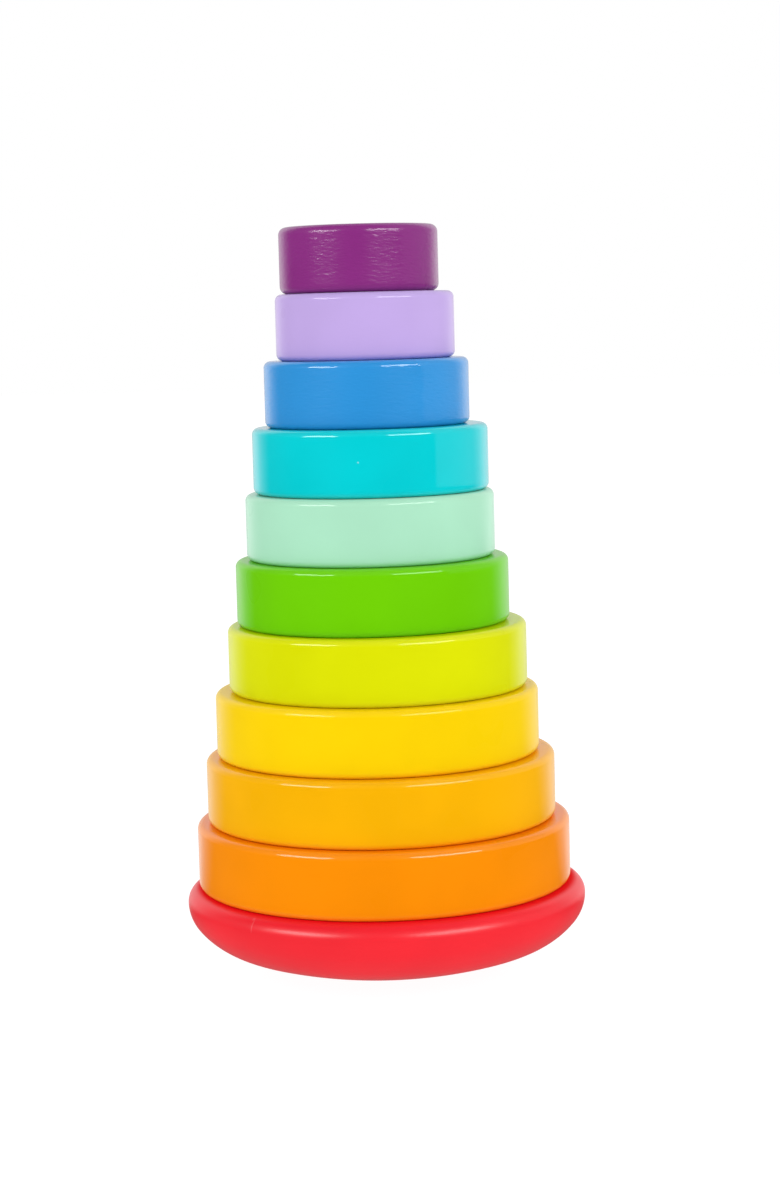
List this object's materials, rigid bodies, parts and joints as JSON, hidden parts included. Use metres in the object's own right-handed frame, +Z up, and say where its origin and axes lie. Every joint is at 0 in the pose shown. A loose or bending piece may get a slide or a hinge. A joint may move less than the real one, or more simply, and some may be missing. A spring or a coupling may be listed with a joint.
{
  "type": "wobbly ring stacking tower",
  "caption": "Wooden stacking tower: loose lacquered rings graded in size and colour on a peg in a round-bottomed base that rocks.",
  "frame": {"origin": "middle of the small flat foot under the base, on the axis of the base and the peg", "axes": "+Z up along the peg; the loose rings have slipped towards -X; the part is the same on both sides of the XZ plane"},
  "size_m": [0.122, 0.122, 0.2265],
  "materials": {
    "red_lacquer": "satin lacquer over turned hardwood",
    "bare_beech": "sanded, clear sealed beech dowel",
    "orange_lacquer": "high-gloss lacquer over turned hardwood",
    "amber_lacquer": "high-gloss lacquer over turned hardwood",
    "yellow_lacquer": "high-gloss lacquer over turned hardwood",
    "lime_lacquer": "high-gloss lacquer over turned hardwood",
    "green_lacquer": "high-gloss lacquer over turned hardwood",
    "mint_lacquer": "high-gloss lacquer over turned hardwood",
    "turquoise_lacquer": "high-gloss lacquer over turned hardwood",
    "blue_lacquer": "high-gloss lacquer over turned hardwood",
    "lilac_lacquer": "high-gloss lacquer over turned hardwood",
    "purple_lacquer": "high-gloss lacquer over turned hardwood"
  },
  "bodies": {
    "base": {"rocker_base": "red_lacquer", "peg": "bare_beech"},
    "orange": {"orange_ring": "orange_lacquer"},
    "amber": {"amber_ring": "amber_lacquer"},
    "yellow": {"yellow_ring": "yellow_lacquer"},
    "lime": {"lime_ring": "lime_lacquer"},
    "green": {"green_ring": "green_lacquer"},
    "mint": {"mint_ring": "mint_lacquer"},
    "turquoise": {"turquoise_ring": "turquoise_lacquer"},
    "blue": {"blue_ring": "blue_lacquer"},
    "lilac": {"lilac_ring": "lilac_lacquer"},
    "purple": {"purple_ring": "purple_lacquer"}
  },
  "joints": [
    {"name": "orange_lift", "type": "slide", "parent": "base", "child": "orange", "axis": [0, 0, 1], "range_m": [0, 0.2]},
    {"name": "amber_lift", "type": "slide", "parent": "orange", "child": "amber", "axis": [0, 0, 1], "range_m": [0, 0.18]},
    {"name": "yellow_lift", "type": "slide", "parent": "amber", "child": "yellow", "axis": [0, 0, 1], "range_m": [0, 0.16]},
    {"name": "lime_lift", "type": "slide", "parent": "yellow", "child": "lime", "axis": [0, 0, 1], "range_m": [0, 0.14]},
    {"name": "green_lift", "type": "slide", "parent": "lime", "child": "green", "axis": [0, 0, 1], "range_m": [0, 0.12]},
    {"name": "mint_lift", "type": "slide", "parent": "green", "child": "mint", "axis": [0, 0, 1], "range_m": [0, 0.1]},
    {"name": "turquoise_lift", "type": "slide", "parent": "mint", "child": "turquoise", "axis": [0, 0, 1], "range_m": [0, 0.08]},
    {"name": "blue_lift", "type": "slide", "parent": "turquoise", "child": "blue", "axis": [0, 0, 1], "range_m": [0, 0.06]},
    {"name": "lilac_lift", "type": "slide", "parent": "blue", "child": "lilac", "axis": [0, 0, 1], "range_m": [0, 0.04]},
    {"name": "purple_lift", "type": "slide", "parent": "lilac", "child": "purple", "axis": [0, 0, 1], "range_m": [0, 0.02]}
  ]
}
